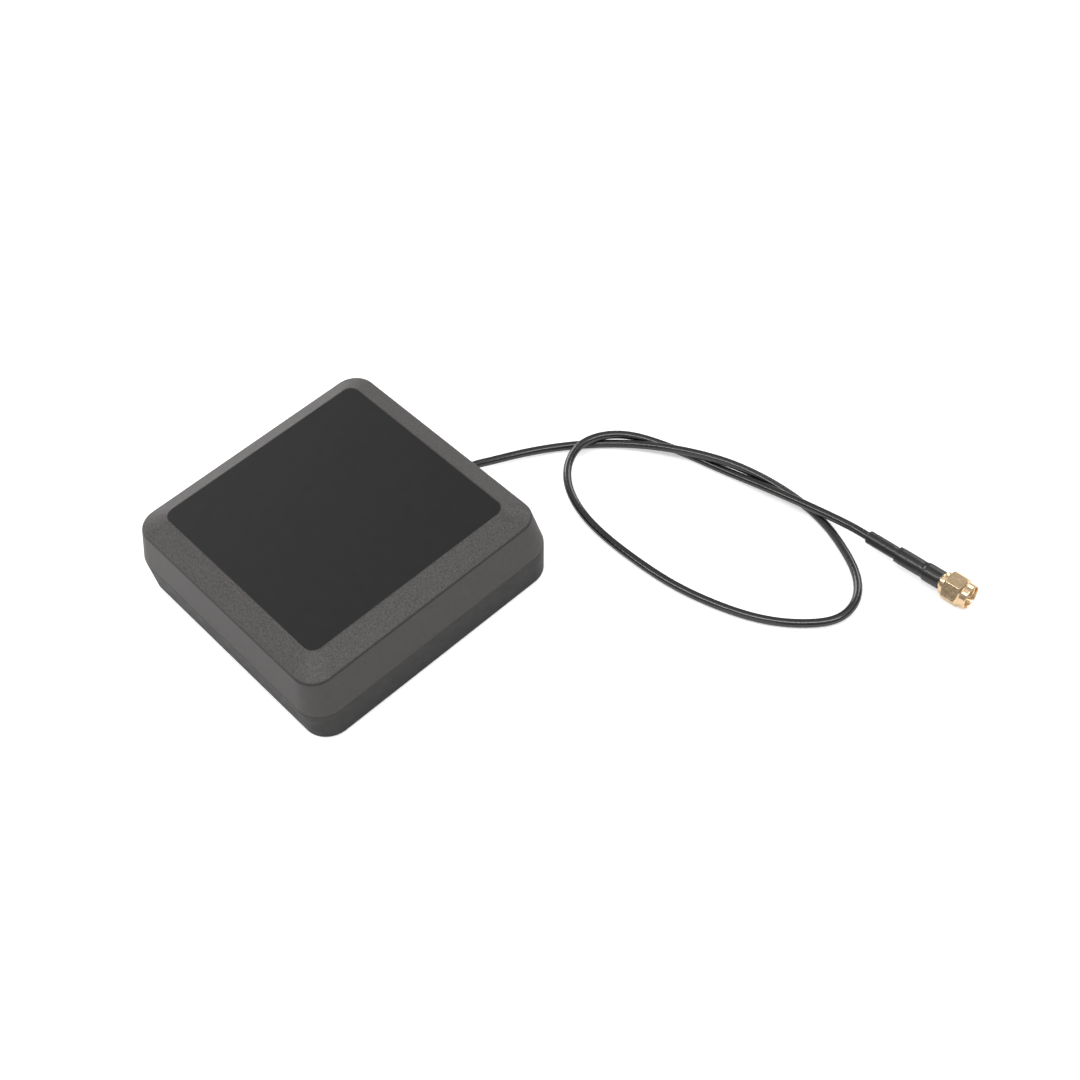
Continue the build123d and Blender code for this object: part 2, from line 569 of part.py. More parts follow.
# ---------------------------------------------------------------- write every node
def main():
    os.makedirs("parts", exist_ok=True)
    save("radome_cover", radome_cover())
    save("base_shell", base_shell())
    save("cover_seal", cover_seal())
    save("housing_screws", *housing_screws())
    save("base_magnets", *base_magnets())
    save("cable_grommet", cable_grommet())

    levels = patch_stack()
    save("amplifier_board", amplifier_board())
    save("board_screws", *board_screws())
    save("patch_pads", stack_sheet(LOWER_PATCH[0] - 4, 2, *levels[0:2]),
         stack_sheet(UPPER_PATCH[0] - 3, 2, *levels[3:5]))
    save("lower_patch", stack_sheet(LOWER_PATCH[0], 0.8, *levels[1:3]))
    save("lower_electrode", stack_sheet(LOWER_ELECTRODE, 0.8, *levels[2:4]))
    save("upper_patch", stack_sheet(UPPER_PATCH[0], 0.8, *levels[4:6]))
    save("upper_electrode", stack_sheet(UPPER_ELECTRODE, 0.8, *levels[5:7]))
    pin_end = BOARD_UNDERSIDE - 0.6
    save("upper_feed_pins", *feed_pins(UPPER_FEED_PLACE, levels[6], pin_end))
    save("lower_feed_pins", *feed_pins(LOWER_FEED_PLACE, levels[3], pin_end))
    save("shield_can", shield_can())
    save("amplifier_chips", *under_board([(-12, 0), (0, 3), (12, 0)], 3, 3, 0.9))
    save("signal_filters", *under_board([(-12, 9), (12, 9)], 3.8, 3.8, 1.3))
    save("chip_parts", *under_board([(x, y) for x in (-16, -4, 4, 16) for y in (-12, -7, 12)], 1.6, 0.8, 0.6))
    save("solder_joints", *solder_joints())
    save("braid_clip", braid_clip())

    course = free_course()
    save("cable_sheath_entry", sheath_entry(course))
    save("cable_sheath_neck", sheath_neck(course))
    save("cable_sheath_turn", sheath_turn(course))
    save("cable_sheath_tail", sheath_tail(course))
    save("board_end_core", board_end_layer(0, CORE_RADIUS))
    save("board_end_insulation", board_end_layer(STRIP_INSULATION, INSULATION_RADIUS, INSULATION_BORE))
    save("board_end_braid", board_end_layer(STRIP_BRAID, BRAID_RADIUS, INSULATION_RADIUS + LAYER_GAP))
    save("plug_end_core", plug_end_core())
    save("plug_end_insulation", plug_end_insulation())
    save("plug_end_braid", plug_end_braid())

    save("cable_sleeve", cable_sleeve())
    save("plug_sleeve", plug_sleeve())
    save("crimp_ferrule", crimp_ferrule())
    save("plug_body", plug_body())
    save("plug_insulator", plug_insulator())
    save("centre_pin", centre_pin())
    save("snap_ring", snap_ring())
    save("plug_gasket", plug_gasket())
    save("coupling_nut", coupling_nut())


main()
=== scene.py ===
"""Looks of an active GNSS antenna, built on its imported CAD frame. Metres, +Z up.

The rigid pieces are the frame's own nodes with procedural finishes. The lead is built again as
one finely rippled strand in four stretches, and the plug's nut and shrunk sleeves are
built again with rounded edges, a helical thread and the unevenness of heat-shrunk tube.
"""
import json
import math

import bpy
import numpy as np
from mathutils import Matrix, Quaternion, Vector
from mathutils.kdtree import KDTree


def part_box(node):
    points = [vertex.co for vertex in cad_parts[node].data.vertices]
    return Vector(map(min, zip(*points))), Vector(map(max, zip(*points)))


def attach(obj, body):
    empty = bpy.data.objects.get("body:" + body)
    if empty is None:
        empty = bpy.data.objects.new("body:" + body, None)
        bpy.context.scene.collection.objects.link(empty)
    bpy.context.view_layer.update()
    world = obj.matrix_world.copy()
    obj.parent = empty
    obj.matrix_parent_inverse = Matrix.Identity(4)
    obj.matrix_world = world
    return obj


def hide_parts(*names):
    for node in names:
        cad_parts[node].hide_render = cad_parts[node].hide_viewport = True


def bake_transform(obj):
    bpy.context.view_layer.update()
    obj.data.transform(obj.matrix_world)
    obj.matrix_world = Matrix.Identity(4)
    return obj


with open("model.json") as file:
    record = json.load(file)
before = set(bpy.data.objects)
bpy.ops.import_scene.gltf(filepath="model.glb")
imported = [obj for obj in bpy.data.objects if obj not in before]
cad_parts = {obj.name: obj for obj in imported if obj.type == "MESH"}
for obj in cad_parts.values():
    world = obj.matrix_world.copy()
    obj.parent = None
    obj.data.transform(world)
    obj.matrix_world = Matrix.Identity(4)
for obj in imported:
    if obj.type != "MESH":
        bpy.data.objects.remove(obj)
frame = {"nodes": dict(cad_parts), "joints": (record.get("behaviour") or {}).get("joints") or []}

# ---------------------------------------------------------------- driving dimensions
MM = 0.001
CABLE_RADIUS = 1.225 * MM

# Tracing the lead's centre line through the frame's sheath nodes
SHEATH_NODES = ["cable_sheath_entry", "cable_sheath_neck", "cable_sheath_turn", "cable_sheath_tail"]
TRACE_STEP = 0.25 * MM
TRACE_DECIMALS = 5                 # of a metre, which the points are rounded to
TRACE_LOOK_BACK = 3                # steps that the line's heading is measured over
TRACE_REACH = 0.6 * MM             # neighbouring strands are more than twice this apart
TRACE_GAP = 15.0 * MM              # the straight stretches have no points between their ends
STRAIGHT_AHEAD = 0.95              # cosine of the widest angle that a gap is crossed at
LINE_SOFTNESS = 1.2 * MM

# Lead's skin: the braid shows through the thin sheath as crossed ripples
RING_SPACING = 0.2 * MM
STRAND_SIDES = 40
BRAID_PITCH = 1.6 * MM
BRAID_STARTS = 4
BRAID_RIPPLE = 0.010 * MM

# Cover: the edge between wall and bevel, as a share of the cover's height, and the flat top's rim
CREASE_SHARE = 0.747
PANEL_RIM = (0.06 * MM, 0.01 * MM)
CREASE_SHADE_START = 0.45 * MM            # painted shade: a dark line along the crease starts this far below the edge
CREASE_SHADE_END = 0.05 * MM        # and ends this far below it
BEVEL_GRAIN = 0.1 * MM             # the bevel's grain starts this far below the edge
LINE_BLUR = 0.25 * MM
BASE_SEAM_HIGHLIGHT = (0.4 * MM, 0.2 * MM)   # painted highlight: the base's paler upper edge fades in between these depths

# Lengths at the lead's joints, and where its stretches are cut beyond them
LIFT_BEND = 2.2 * MM
PLUG_BEND = 5.0 * MM
CUT_AFTER_LIFT = 1.5 * LIFT_BEND
CUT_BEFORE_PLUG = 1.3 * PLUG_BEND

# Nut, along its axis from its rear face
NUT_COLLAR = 1.0 * MM              # length of the collar behind the hexagon
NUT_HEX_END = 6.4 * MM
NUT_RING_GROOVE = (1.75 * MM, 2.35 * MM)
NUT_THREAD = (4.4 * MM, 8.1 * MM)

# Nut, its edges
NUT_COLLAR_BREAK = 0.15 * MM
NUT_CHAMFERS = (0.7 * MM, 0.8 * MM)  # of the hexagon's corners, behind and in front
NUT_NECK = (0.12 * MM, 0.1 * MM)   # step from the hexagon to the skirt: along, and below the skirt
NUT_NECK_END = 0.35 * MM
NUT_MOUTH_OUTSIDE = (0.25 * MM, 0.2 * MM)  # along the axis, and across it
NUT_MOUTH_INSIDE = (0.3 * MM, 0.08 * MM)
NUT_THREAD_RUNOUT = 0.4 * MM
NUT_CORNER_ROUNDING = 0.02 * MM
NUT_FLAT_ROUNDING = 0.025 * MM

# Nut, what tells the hexagon's and the thread's points from the rest of its profile
NUT_HEX_CLEARANCE = 0.05 * MM      # the hexagon's are further out than the collar by this,
NUT_HEX_OVERRUN = 0.1 * MM         # and beyond its faces by less than this
NUT_ROOT_SLACK = 0.03 * MM         # the thread's are this close to its root

# Thread's ridge
THREAD_PITCH = 25.4 * MM / 36
RIDGE_PEAK = 1.35                  # where its flanks would meet, in heights of the ridge
RIDGE_SLOPE = 4                    # heights of the ridge that a flank falls over one pitch

# How finely the turned pieces are built
NUT_SIDES = 240
SLEEVE_SIDES = 96
BORE_THINNING = 4                  # a sleeve's bore has this many times fewer rings than its skin
PROFILE_STEP = 0.07 * MM
EDGE_SOFTNESS = 0.045 * MM

# Nut, radii as shares of the hexagon's half width across flats
NUT_CREST = 0.7125
NUT_RING_SEAT = 0.75
NUT_ROOT = 0.8
NUT_COLLAR_RADIUS = 0.825
NUT_SKIRT = 0.9
NUT_FRONT_EDGE = 0.93
NUT_REAR_EDGE = 0.9375
NUT_CORNERS = 1.148

# Shrunk sleeves: waves of their skin as (height, radians along it, radians round it, phase),
# how high these are, and dimples as (share of the length, angle from the top, width, height)
SLEEVE_END_SOFTNESS = 0.12 * MM
SLEEVE_BORE_SLACK = 0.1 * MM       # the bore's points are less than this outside its radius
SLEEVE_WAVES = ((1, 7.3, 2, 0), (0.6, 17, -3, 1.2), (0.5, 29, 1, 0.5))
CABLE_SLEEVE_WRINKLE = 0.003 * MM
PLUG_SLEEVE_WRINKLE = 0.005 * MM
BLOB = (0.61, math.radians(-35), 0.45 * MM, 0.10 * MM)
HOLLOW = (0.53, math.radians(-30), 0.5 * MM, -0.05 * MM)

# Camera, at the photograph's viewing angle; lengths are shares of the housing's width
VIEW_AZIMUTH = 53.27
VIEW_ELEVATION = 51.11
VIEW_ROLL = -7.59
VIEW_DISTANCE = 5.9985
VIEW_AIM = (0.3692, 0.5361)
VIEW_LENS = 59.35                  # in millimetres, like the sensor's width
SENSOR_WIDTH = 36
CLIP_START = 0.01

# Soft lights: azimuth, elevation and power, and a size unless it's the usual square
SOFTBOX_WIDTH = 0.5
KEY_SIZE = (1.8, 0.12)             # a strip, for crisp lines along the lead
LIGHTS = {
    "overhead": (0, 90, 0.25),
    "key": (36, 70, 5.4, KEY_SIZE),
    "left": (-98, 28, 2.7),
    "front_left": (-56, 8, 1.25),
    "front": (22, 12, 0.55),
    "back": (180, 30, 1.8),
    "right": (130, 54, 0.5),
}
SOFTBOX_DISTANCE = 0.9
SOFTBOX_AIM = Vector((0.02, 0.03, 0.01))
HORIZON = 0.20                     # brightness of the dim surroundings, low down
ZENITH = 0.50                      # and overhead
FLOOR_HALF = 3.0
FLOOR_DROP = 0.05 * MM
FLOOR_LIFT = 0.45                  # makes the floor paler to the camera than to the object


# ---------------------------------------------------------------- reading the frame
def joint(name):
    return next(j for j in frame["joints"] if j["name"] == name)


def pivot(name):
    return np.array(joint(name)["pos_m"], float)


def coordinates(mesh):
    flat = np.empty(3 * len(mesh.vertices))
    mesh.vertices.foreach_get("co", flat)
    return flat.reshape(-1, 3)


def round_corners(mesh):
    """Place and surface normal of every corner of the mesh's curved faces."""
    owner = np.empty(len(mesh.loops), int)
    mesh.loops.foreach_get("vertex_index", owner)
    normals = np.empty(3 * len(mesh.loops))
    mesh.corner_normals.foreach_get("vector", normals)
    curved = np.concatenate([[face.use_smooth] * face.loop_total for face in mesh.polygons])
    return coordinates(mesh)[owner][curved], normals.reshape(-1, 3)[curved]


def plug_axis():
    """A point on the plug's axis and its direction, towards the plug's mouth."""
    spin = joint("nut_spin")
    direction = np.array(spin["axis"], float)
    return np.array(spin["pos_m"], float), direction / np.linalg.norm(direction)


def along_plug(node):
    """Distance along the plug's axis and from it, for every vertex of a node."""
    origin, direction = plug_axis()
    away = coordinates(frame["nodes"][node].data) - origin
    along = away @ direction
    return along, np.linalg.norm(away - np.outer(along, direction), axis=1)


# ---------------------------------------------------------------- meshes
def smoothed(values, width, closed=False):
    """Gaussian average along the first axis; width is in samples."""
    reach = int(math.ceil(3 * width))
    weights = np.exp(-0.5 * (np.arange(-reach, reach + 1) / width) ** 2)
    weights /= weights.sum()
    padding = [(reach, reach)] + [(0, 0)] * (values.ndim - 1)
    padded = np.pad(values, padding, mode="wrap" if closed else "edge")
    return sum(w * padded[i:i + len(values)] for i, w in enumerate(weights))


def evenly(points, spacing):
    """The same polyline with its points at an even spacing."""
    lengths = np.linalg.norm(np.diff(points, axis=0), axis=1)
    along = np.concatenate([[0], np.cumsum(lengths)])
    places = np.linspace(0, along[-1], max(2, int(round(along[-1] / spacing)) + 1))
    return np.stack([np.interp(places, along, points[:, i]) for i in range(points.shape[1])], axis=1)


def skin(name, rings, closed, smooth_angle=40):
    """Mesh over rings of points (ring, side, xyz); closed joins the last ring to the first."""
    count, sides, _ = rings.shape
    spans = count if closed else count - 1
    faces = []
    for i in range(spans):
        here, there = i * sides, (i + 1) % count * sides
        for j in range(sides):
            k = (j + 1) % sides
            faces.append((here + j, here + k, there + k, there + j))
    if not closed:
        faces.append(tuple(reversed(range(sides))))
        faces.append(tuple(range((count - 1) * sides, count * sides)))
    mesh = bpy.data.meshes.new(name)
    mesh.from_pydata(rings.reshape(-1, 3).tolist(), [], faces)
    mesh.update(calc_edges=True)
    mesh.shade_smooth()
    mesh.set_sharp_from_angle(angle=math.radians(smooth_angle))
    obj = bpy.data.objects.new(name, mesh)
    bpy.context.scene.collection.objects.link(obj)
    return obj


# ---------------------------------------------------------------- the lead
def strand_points():
    """Points on the lead's centre line: the sheath's skin moved in along its normal."""
    found = []
    for node in SHEATH_NODES:
        places, normals = round_corners(frame["nodes"][node].data)
        found.append(places - normals * CABLE_RADIUS)
    return np.unique(np.round(np.vstack(found), TRACE_DECIMALS), axis=0)


def next_place(tree, here, heading):
    """The centre line's next point: a step on, or the first point straight ahead over a gap."""
    guess = here + heading * TRACE_STEP
    near = [place for place, _, _ in tree.find_range(guess, TRACE_REACH)
            if (place - here).dot(heading) > 0]
    if near:
        aside = sum(near, Vector()) / len(near) - guess
        return guess + aside - heading * aside.dot(heading)
    ahead = [(apart, place.freeze()) for place, _, apart in tree.find_range(here, TRACE_GAP)
             if (place - here).dot(heading) > STRAIGHT_AHEAD * apart > 0]
    return min(ahead)[1].copy() if ahead else None


def traced_line():
    """The lead's centre line, from its stripped end on the board into the plug."""
    points = strand_points()
    tree = KDTree(len(points))
    for i, point in enumerate(points):
        tree.insert(point, i)
    tree.balance()
    core_low, core_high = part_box("board_end_core")
    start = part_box("cable_sheath_entry")[0].y
    line = [Vector((0, start, (core_low.z + core_high.z) / 2))]
    heading = Vector((0, 1, 0))
    place = next_place(tree, line[-1], heading)
    while place is not None:
        line.append(place)
        heading = (line[-1] - line[max(0, len(line) - 1 - TRACE_LOOK_BACK)]).normalized()
        place = next_place(tree, place, heading)
    line = evenly(np.array(line), TRACE_STEP)
    ends = line[0].copy(), line[-1].copy()
    line = smoothed(line, LINE_SOFTNESS / TRACE_STEP)
    line[0], line[-1] = ends
    return evenly(line, RING_SPACING)


def strand_rings(line):
    """Rings round the centre line, with one seam that never twists, rippled by the braid."""
    tangents = np.gradient(line, axis=0)
    tangents /= np.linalg.norm(tangents, axis=1)[:, None]
    side = np.array([1.0, 0.0, 0.0])
    angles = np.linspace(0, 2 * math.pi, STRAND_SIDES, endpoint=False)
    rings = []
    for i, (point, tangent) in enumerate(zip(line, tangents)):
        side = side - tangent * (side @ tangent)
        side /= np.linalg.norm(side)
        phase = math.pi * i * RING_SPACING / BRAID_PITCH
        ripple = np.cos(phase + BRAID_STARTS * angles) * np.cos(phase - BRAID_STARTS * angles)
        radius = (CABLE_RADIUS + BRAID_RIPPLE * ripple)[:, None]
        up = np.cross(tangent, side)
        rings.append(point + radius * (np.outer(np.cos(angles), side) + np.outer(np.sin(angles), up)))
    return np.array(rings)


def lead(sheath):
    """Four stretches of one strand; the first, second and last are baked in place, the third is attached
    to the lead's turn.
    """
    line = traced_line()
    rings = strand_rings(line)

    def index(place, beyond=0.0):
        nearest = int(np.argmin(np.linalg.norm(line - place, axis=1)))
        return nearest + int(round(beyond / RING_SPACING))

    swing, lift, bend = pivot("lead_swing"), pivot("lead_lift"), pivot("plug_bend")
    cuts = [0, index((swing + lift) / 2), index(lift, CUT_AFTER_LIFT), index(bend, -CUT_BEFORE_PLUG)]
    cuts.append(len(line) - 1)
    names = ["lead_entry", "lead_neck_skin", "lead_turn_skin", "lead_tail"]
    stretches = []
    for name, node, first, last in zip(names, SHEATH_NODES, cuts, cuts[1:]):
        piece = skin(name, rings[first:last + 1], closed=False)
        piece.data.materials.append(sheath)
        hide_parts(node)
        stretches.append(piece)

    def bend_at(piece):
        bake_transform(piece)

    bend_at(stretches[0])
    bend_at(stretches[1])
    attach(stretches[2], "lead_turn")
    bend_at(stretches[3])


# ---------------------------------------------------------------- plug
def lathe(name, profile, radius_at, sides, body, node, looks, slot):
    """Closed profile of (along, radius) turned round the plug's axis. radius_at(along, radius,
    angle) gives the radius at an angle measured from straight up."""
    origin, axis = plug_axis()
    up = np.array([0.0, 0.0, 1.0])
    up -= axis * (up @ axis)
    up /= np.linalg.norm(up)
    side = np.cross(axis, up)
    angles = np.linspace(0, 2 * math.pi, sides, endpoint=False)
    radial = np.outer(np.cos(angles), up) + np.outer(np.sin(angles), side)
    rings = [origin + axis * along + radius_at(along, radius, angles)[:, None] * radial
             for along, radius in profile]
    piece = skin(name, np.array(rings), closed=True, smooth_angle=60)
    piece.data.materials.append(looks[slot])
    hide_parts(node)
    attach(piece, body)


def outline(corners):
    """Closed profile through the corners, with every edge slightly rounded."""
    corners = np.array(corners + corners[:1])
    points = evenly(corners, PROFILE_STEP)[:-1]
    return smoothed(points, EDGE_SOFTNESS / PROFILE_STEP, closed=True)


def smooth_minimum(first, second, rounding):
    """The smaller of two values, with a rounded change from one to the other."""
    least = np.minimum(first, second)
    excess = np.exp((least - first) / rounding) + np.exp((least - second) / rounding)
    return least - rounding * np.log(excess)


def coupling_nut(looks):
    """Hexagon with a collar behind and a skirt in front; single-start thread inside."""
    along, radii = along_plug("coupling_nut")
    rear, front = along.min(), along.max()
    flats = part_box("coupling_nut")[1].z / 2
    bore, crest, root = radii.min(), NUT_CREST * flats, NUT_ROOT * flats
    collar, skirt, tips = NUT_COLLAR_RADIUS * flats, NUT_SKIRT * flats, NUT_CORNERS * flats
    ring_seat = NUT_RING_SEAT * flats
    groove_start, groove_end = (rear + place for place in NUT_RING_GROOVE)
    thread_start, thread_end = (rear + place for place in NUT_THREAD)
    hex_start, hex_end = rear + NUT_COLLAR, rear + NUT_HEX_END
    corners = [(rear, bore), (rear, collar - NUT_COLLAR_BREAK), (rear + NUT_COLLAR_BREAK, collar),
               (hex_start, collar), (hex_start, NUT_REAR_EDGE * flats),
               (hex_start + NUT_CHAMFERS[0], tips), (hex_end - NUT_CHAMFERS[1], tips),
               (hex_end, NUT_FRONT_EDGE * flats), (hex_end + NUT_NECK[0], skirt - NUT_NECK[1]),
               (hex_end + NUT_NECK_END, skirt), (front - NUT_MOUTH_OUTSIDE[0], skirt),
               (front, skirt - NUT_MOUTH_OUTSIDE[1]), (front, root + NUT_MOUTH_INSIDE[1]),
               (front - NUT_MOUTH_INSIDE[0], root), (thread_start, root),
               (groove_end + NUT_THREAD_RUNOUT, root), (groove_end, crest), (groove_end, ring_seat),
               (groove_start, ring_seat), (groove_start, bore)]

    def radius_at(place, radius, angles):
        on_hexagon = hex_start - NUT_HEX_OVERRUN < place < hex_end + NUT_HEX_OVERRUN
        if on_hexagon and radius > collar + NUT_HEX_CLEARANCE:
            from_flat = (angles + math.pi / 6) % (math.pi / 3) - math.pi / 6
            hexagon = smooth_minimum(flats / np.cos(from_flat), tips, NUT_CORNER_ROUNDING)
            return smooth_minimum(hexagon, radius, NUT_FLAT_ROUNDING)
        if abs(radius - root) < NUT_ROOT_SLACK and thread_start < place < thread_end:
            turn = (place / THREAD_PITCH - angles / (2 * math.pi)) % 1
            ridge = np.clip(RIDGE_PEAK - np.abs(turn - 0.5) * RIDGE_SLOPE, 0, 1)
            from_end = min(place - thread_start, thread_end - place)
            fade = min(1, from_end / (THREAD_PITCH / 2))
            return root - (root - crest) * ridge * fade
        return np.full_like(angles, radius)

    lathe("nut", outline(corners), radius_at, NUT_SIDES, "nut", "coupling_nut", looks, "gold_plate")


def sleeve_outline(node):
    """Outer profile and bore of a sleeve, read from its CAD node's rings."""
    along, radii = along_plug(node)
    places = np.arange(along.min(), along.max() + PROFILE_STEP / 2, PROFILE_STEP)
    middle = (radii.min() + radii.max()) / 2
    outside = radii > middle
    order = np.argsort(along[outside])
    outer = np.interp(places, along[outside][order], radii[outside][order])
    return places, outer, radii.min()


def shrunk_sleeve(name, node, looks, wrinkle, dimples=()):
    """Heat-shrunk tube: its ends rounded, its skin slightly uneven, with shallow dimples."""
    places, outer, bore = sleeve_outline(node)
    outer = smoothed(outer, SLEEVE_END_SOFTNESS / PROFILE_STEP)
    back = places[::-BORE_THINNING]
    skin_profile = np.stack([places, outer], 1)
    bore_profile = np.stack([back, np.full_like(back, bore)], 1)
    length = places[-1] - places[0]

    def radius_at(place, radius, angles):
        if radius < bore + SLEEVE_BORE_SLACK:
            return np.full_like(angles, radius)
        beyond = place - places[0]
        share = beyond / length
        waves = sum(height * np.sin(lengthwise * share + around * angles + phase)
                    for height, lengthwise, around, phase in SLEEVE_WAVES)
        uneven = waves * wrinkle
        for at_share, at_angle, width, height in dimples:
            apart = (angles - at_angle + math.pi) % (2 * math.pi) - math.pi
            distance = np.hypot(beyond - at_share * length, apart * radius)
            uneven += height * np.exp(-0.5 * (distance / width) ** 2)
        return radius + uneven

    profile = np.concatenate([skin_profile, bore_profile])
    lathe(name, profile, radius_at, SLEEVE_SIDES, "plug", node, looks, "shrink_tube")


# ---------------------------------------------------------------- materials
class Finish:
    """A principled material with object-space noise for its grain, roughness and bump."""

    def __init__(self, name, colour, roughness, metallic=0.0, specular=0.5):
        self.material = bpy.data.materials.new(name + "_look")
        self.material.use_nodes = True
        self.nodes = self.material.node_tree.nodes
        self.links = self.material.node_tree.links
        self.shader = self.nodes["Principled BSDF"]
        self.place = self.nodes.new("ShaderNodeTexCoord").outputs["Object"]
        self.colour = colour
        self.roughness = roughness
        self.normal = None
        self.set("Base Color", (*colour, 1))
        self.set("Roughness", roughness)
        self.set("Metallic", metallic)
        self.set("Specular IOR Level", specular)

    def set(self, socket, value):
        self.shader.inputs[socket].default_value = value
        return self

    def link(self, output, socket):
        self.links.new(output, self.shader.inputs[socket])

    def noise(self, size):
        """Noise between 0 and 1 whose blotches are about this size."""
        node = self.nodes.new("ShaderNodeTexNoise")
        node.inputs["Scale"].default_value = 1 / size
        node.inputs["Detail"].default_value = 3.0
        self.links.new(self.place, node.inputs["Vector"])
        return node.outputs["Fac"]

    def ranged(self, value, low, high, start=0.3, end=0.7):
        """The value spread from low to high as it goes from start to end."""
        node = self.nodes.new("ShaderNodeMapRange")
        self.links.new(value, node.inputs["Value"])
        numbers = {"From Min": start, "From Max": end, "To Min": low, "To Max": high}
        for socket, number in numbers.items():
            node.inputs[socket].default_value = number
        return node.outputs["Result"]

    def mixed(self, share, first, second):
        """Colour between two colours or colour outputs."""
        node = self.nodes.new("ShaderNodeMix")
        node.data_type = "RGBA"
        self.links.new(share, node.inputs[0])
        for socket, colour in ((node.inputs[6], first), (node.inputs[7], second)):
            if isinstance(colour, tuple):
                socket.default_value = (*colour, 1)
            else:
                self.links.new(colour, socket)
        return node.outputs[2]

    def height(self):
        """Height above the ground."""
        split = self.nodes.new("ShaderNodeSeparateXYZ")
        self.links.new(self.place, split.inputs[0])
        return split.outputs["Z"]

    def blotches(self, size, dark, light):
        return self.mixed(self.ranged(self.noise(size), 0, 1), dark, light)

    def product(self, first, second):
        node = self.nodes.new("ShaderNodeMath")
        node.operation = "MULTIPLY"
        self.links.new(first, node.inputs[0])
        self.links.new(second, node.inputs[1])
        return node.outputs[0]

    def mottle(self, size, amount):
        """Base colour varies by a share of itself."""
        dark = tuple(c * (1 - amount) for c in self.colour)
        light = tuple(c * (1 + amount) for c in self.colour)
        self.link(self.blotches(size, dark, light), "Base Color")
        return self

    def scuffed(self, size, amount):
        """Roughness varies by this much either way."""
        least, most = self.roughness - amount, self.roughness + amount
        self.link(self.ranged(self.noise(size), least, most), "Roughness")
        return self

    def bumped(self, size, height):
        """Fine relief, laid over any relief that is already there."""
        node = self.nodes.new("ShaderNodeBump")
        node.inputs["Distance"].default_value = height
        self.links.new(self.noise(size), node.inputs["Height"])
        if self.normal:
            self.links.new(self.normal, node.inputs["Normal"])
        self.normal = node.outputs["Normal"]
        self.link(self.normal, "Normal")
        return self

    def rounded(self, radius):
        """Sharp edges catch the light as if they were rounded."""
        node = self.nodes.new("ShaderNodeBevel")
        node.inputs["Radius"].default_value = radius
        self.normal = node.outputs["Normal"]
        self.link(self.normal, "Normal")
        return self


def radome_plastic():
    """Warm grey: satin walls, painted shade as a fine dark line at their upper edge, a painted
    highlight as a paler seam at their foot, a grained bevel and a dark flat top."""
    finish = Finish("radome_plastic", (0.075, 0.070, 0.069), 0.5, specular=0.45)
    height = finish.height()
    low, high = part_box("radome_cover")
    crease = low.z + CREASE_SHARE * (high.z - low.z)
    panel = finish.ranged(height, 0, 1, high.z - PANEL_RIM[0], high.z - PANEL_RIM[1])
    above = finish.ranged(height, 0, 1, crease - BEVEL_GRAIN, crease + LINE_BLUR)
    shade_start = crease - CREASE_SHADE_START
    past_shade_start = finish.ranged(height, 0, 1, shade_start, shade_start + LINE_BLUR)
    shade_end = crease - CREASE_SHADE_END
    before_shade_end = finish.ranged(height, 1, 0, shade_end, shade_end + LINE_BLUR)
    seam = finish.ranged(height, 1, 0, low.z + LINE_BLUR, low.z + 2 * LINE_BLUR)

    grain = finish.blotches(0.45 * MM, (0.034, 0.031, 0.030), (0.094, 0.086, 0.084))
    satin = finish.blotches(2 * MM, (0.058, 0.0520, 0.0505), (0.064, 0.0575, 0.0558))
    smooth = finish.blotches(4 * MM, (0.0112, 0.0112, 0.0114), (0.0128, 0.0128, 0.0130))
    sides = finish.mixed(above, satin, grain)
    # painted shade: a dark band just below the edge between wall and bevel
    crease_shaded = finish.mixed(finish.product(past_shade_start, before_shade_end), sides, (0.030, 0.028, 0.028))
    # painted highlight: a paler band along the cover's foot at the seam
    seam_highlighted = finish.mixed(seam, crease_shaded, (0.13, 0.12, 0.116))
    finish.link(finish.mixed(panel, seam_highlighted, smooth), "Base Color")
    finish.link(finish.ranged(panel, 0.46, 0.55, 0, 1), "Roughness")
    finish.link(finish.ranged(panel, 0.5, 0.22, 0, 1), "Specular IOR Level")
    finish.bumped(0.45 * MM, 0.07 * MM)
    grained = finish.product(above, finish.ranged(panel, 1.0, 0.12, 0, 1))
    finish.links.new(finish.ranged(grained, 0.06, 1.0, 0, 1), finish.normal.node.inputs["Strength"])
    return finish.material


def base_plastic():
    """Dark and satin, with a painted highlight as a paler upper edge at the seam."""
    finish = Finish("base_plastic", (0.028, 0.0262, 0.0255), 0.5, specular=0.36)
    seam_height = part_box("radome_cover")[0].z
    start, end = (seam_height - depth for depth in BASE_SEAM_HIGHLIGHT)
    seam = finish.ranged(finish.height(), 0, 1, start, end)
    plain = finish.blotches(0.4 * MM, (0.026, 0.0245, 0.024), (0.030, 0.028, 0.027))
    # painted highlight: a paler band along the base's upper edge at the seam
    finish.link(finish.mixed(seam, plain, (0.075, 0.070, 0.068)), "Base Color")
    return finish.scuffed(3 * MM, 0.05).bumped(0.35 * MM, 0.006 * MM).material


def silicone():
    finish = Finish("silicone", (0.30, 0.31, 0.32), 0.5)
    return finish.set("Subsurface Weight", 0.05).mottle(2 * MM, 0.05).bumped(0.5 * MM, 0.01 * MM).material


def steel():
    finish = Finish("steel", (0.50, 0.50, 0.51), 0.32, metallic=1.0)
    finish.rounded(0.08 * MM)
    return finish.mottle(1 * MM, 0.06).scuffed(0.5 * MM, 0.1).bumped(0.2 * MM, 0.004 * MM).material


def nickel():
    finish = Finish("nickel", (0.62, 0.60, 0.57), 0.22, metallic=1.0)
    finish.rounded(0.08 * MM)
    return finish.mottle(3 * MM, 0.04).scuffed(1 * MM, 0.08).bumped(0.4 * MM, 0.004 * MM).material


def black_rubber():
    finish = Finish("black_rubber", (0.018, 0.018, 0.019), 0.6)
    finish.set("Sheen Weight", 0.05)
    return finish.mottle(0.5 * MM, 0.15).scuffed(1 * MM, 0.08).bumped(0.2 * MM, 0.012 * MM).material


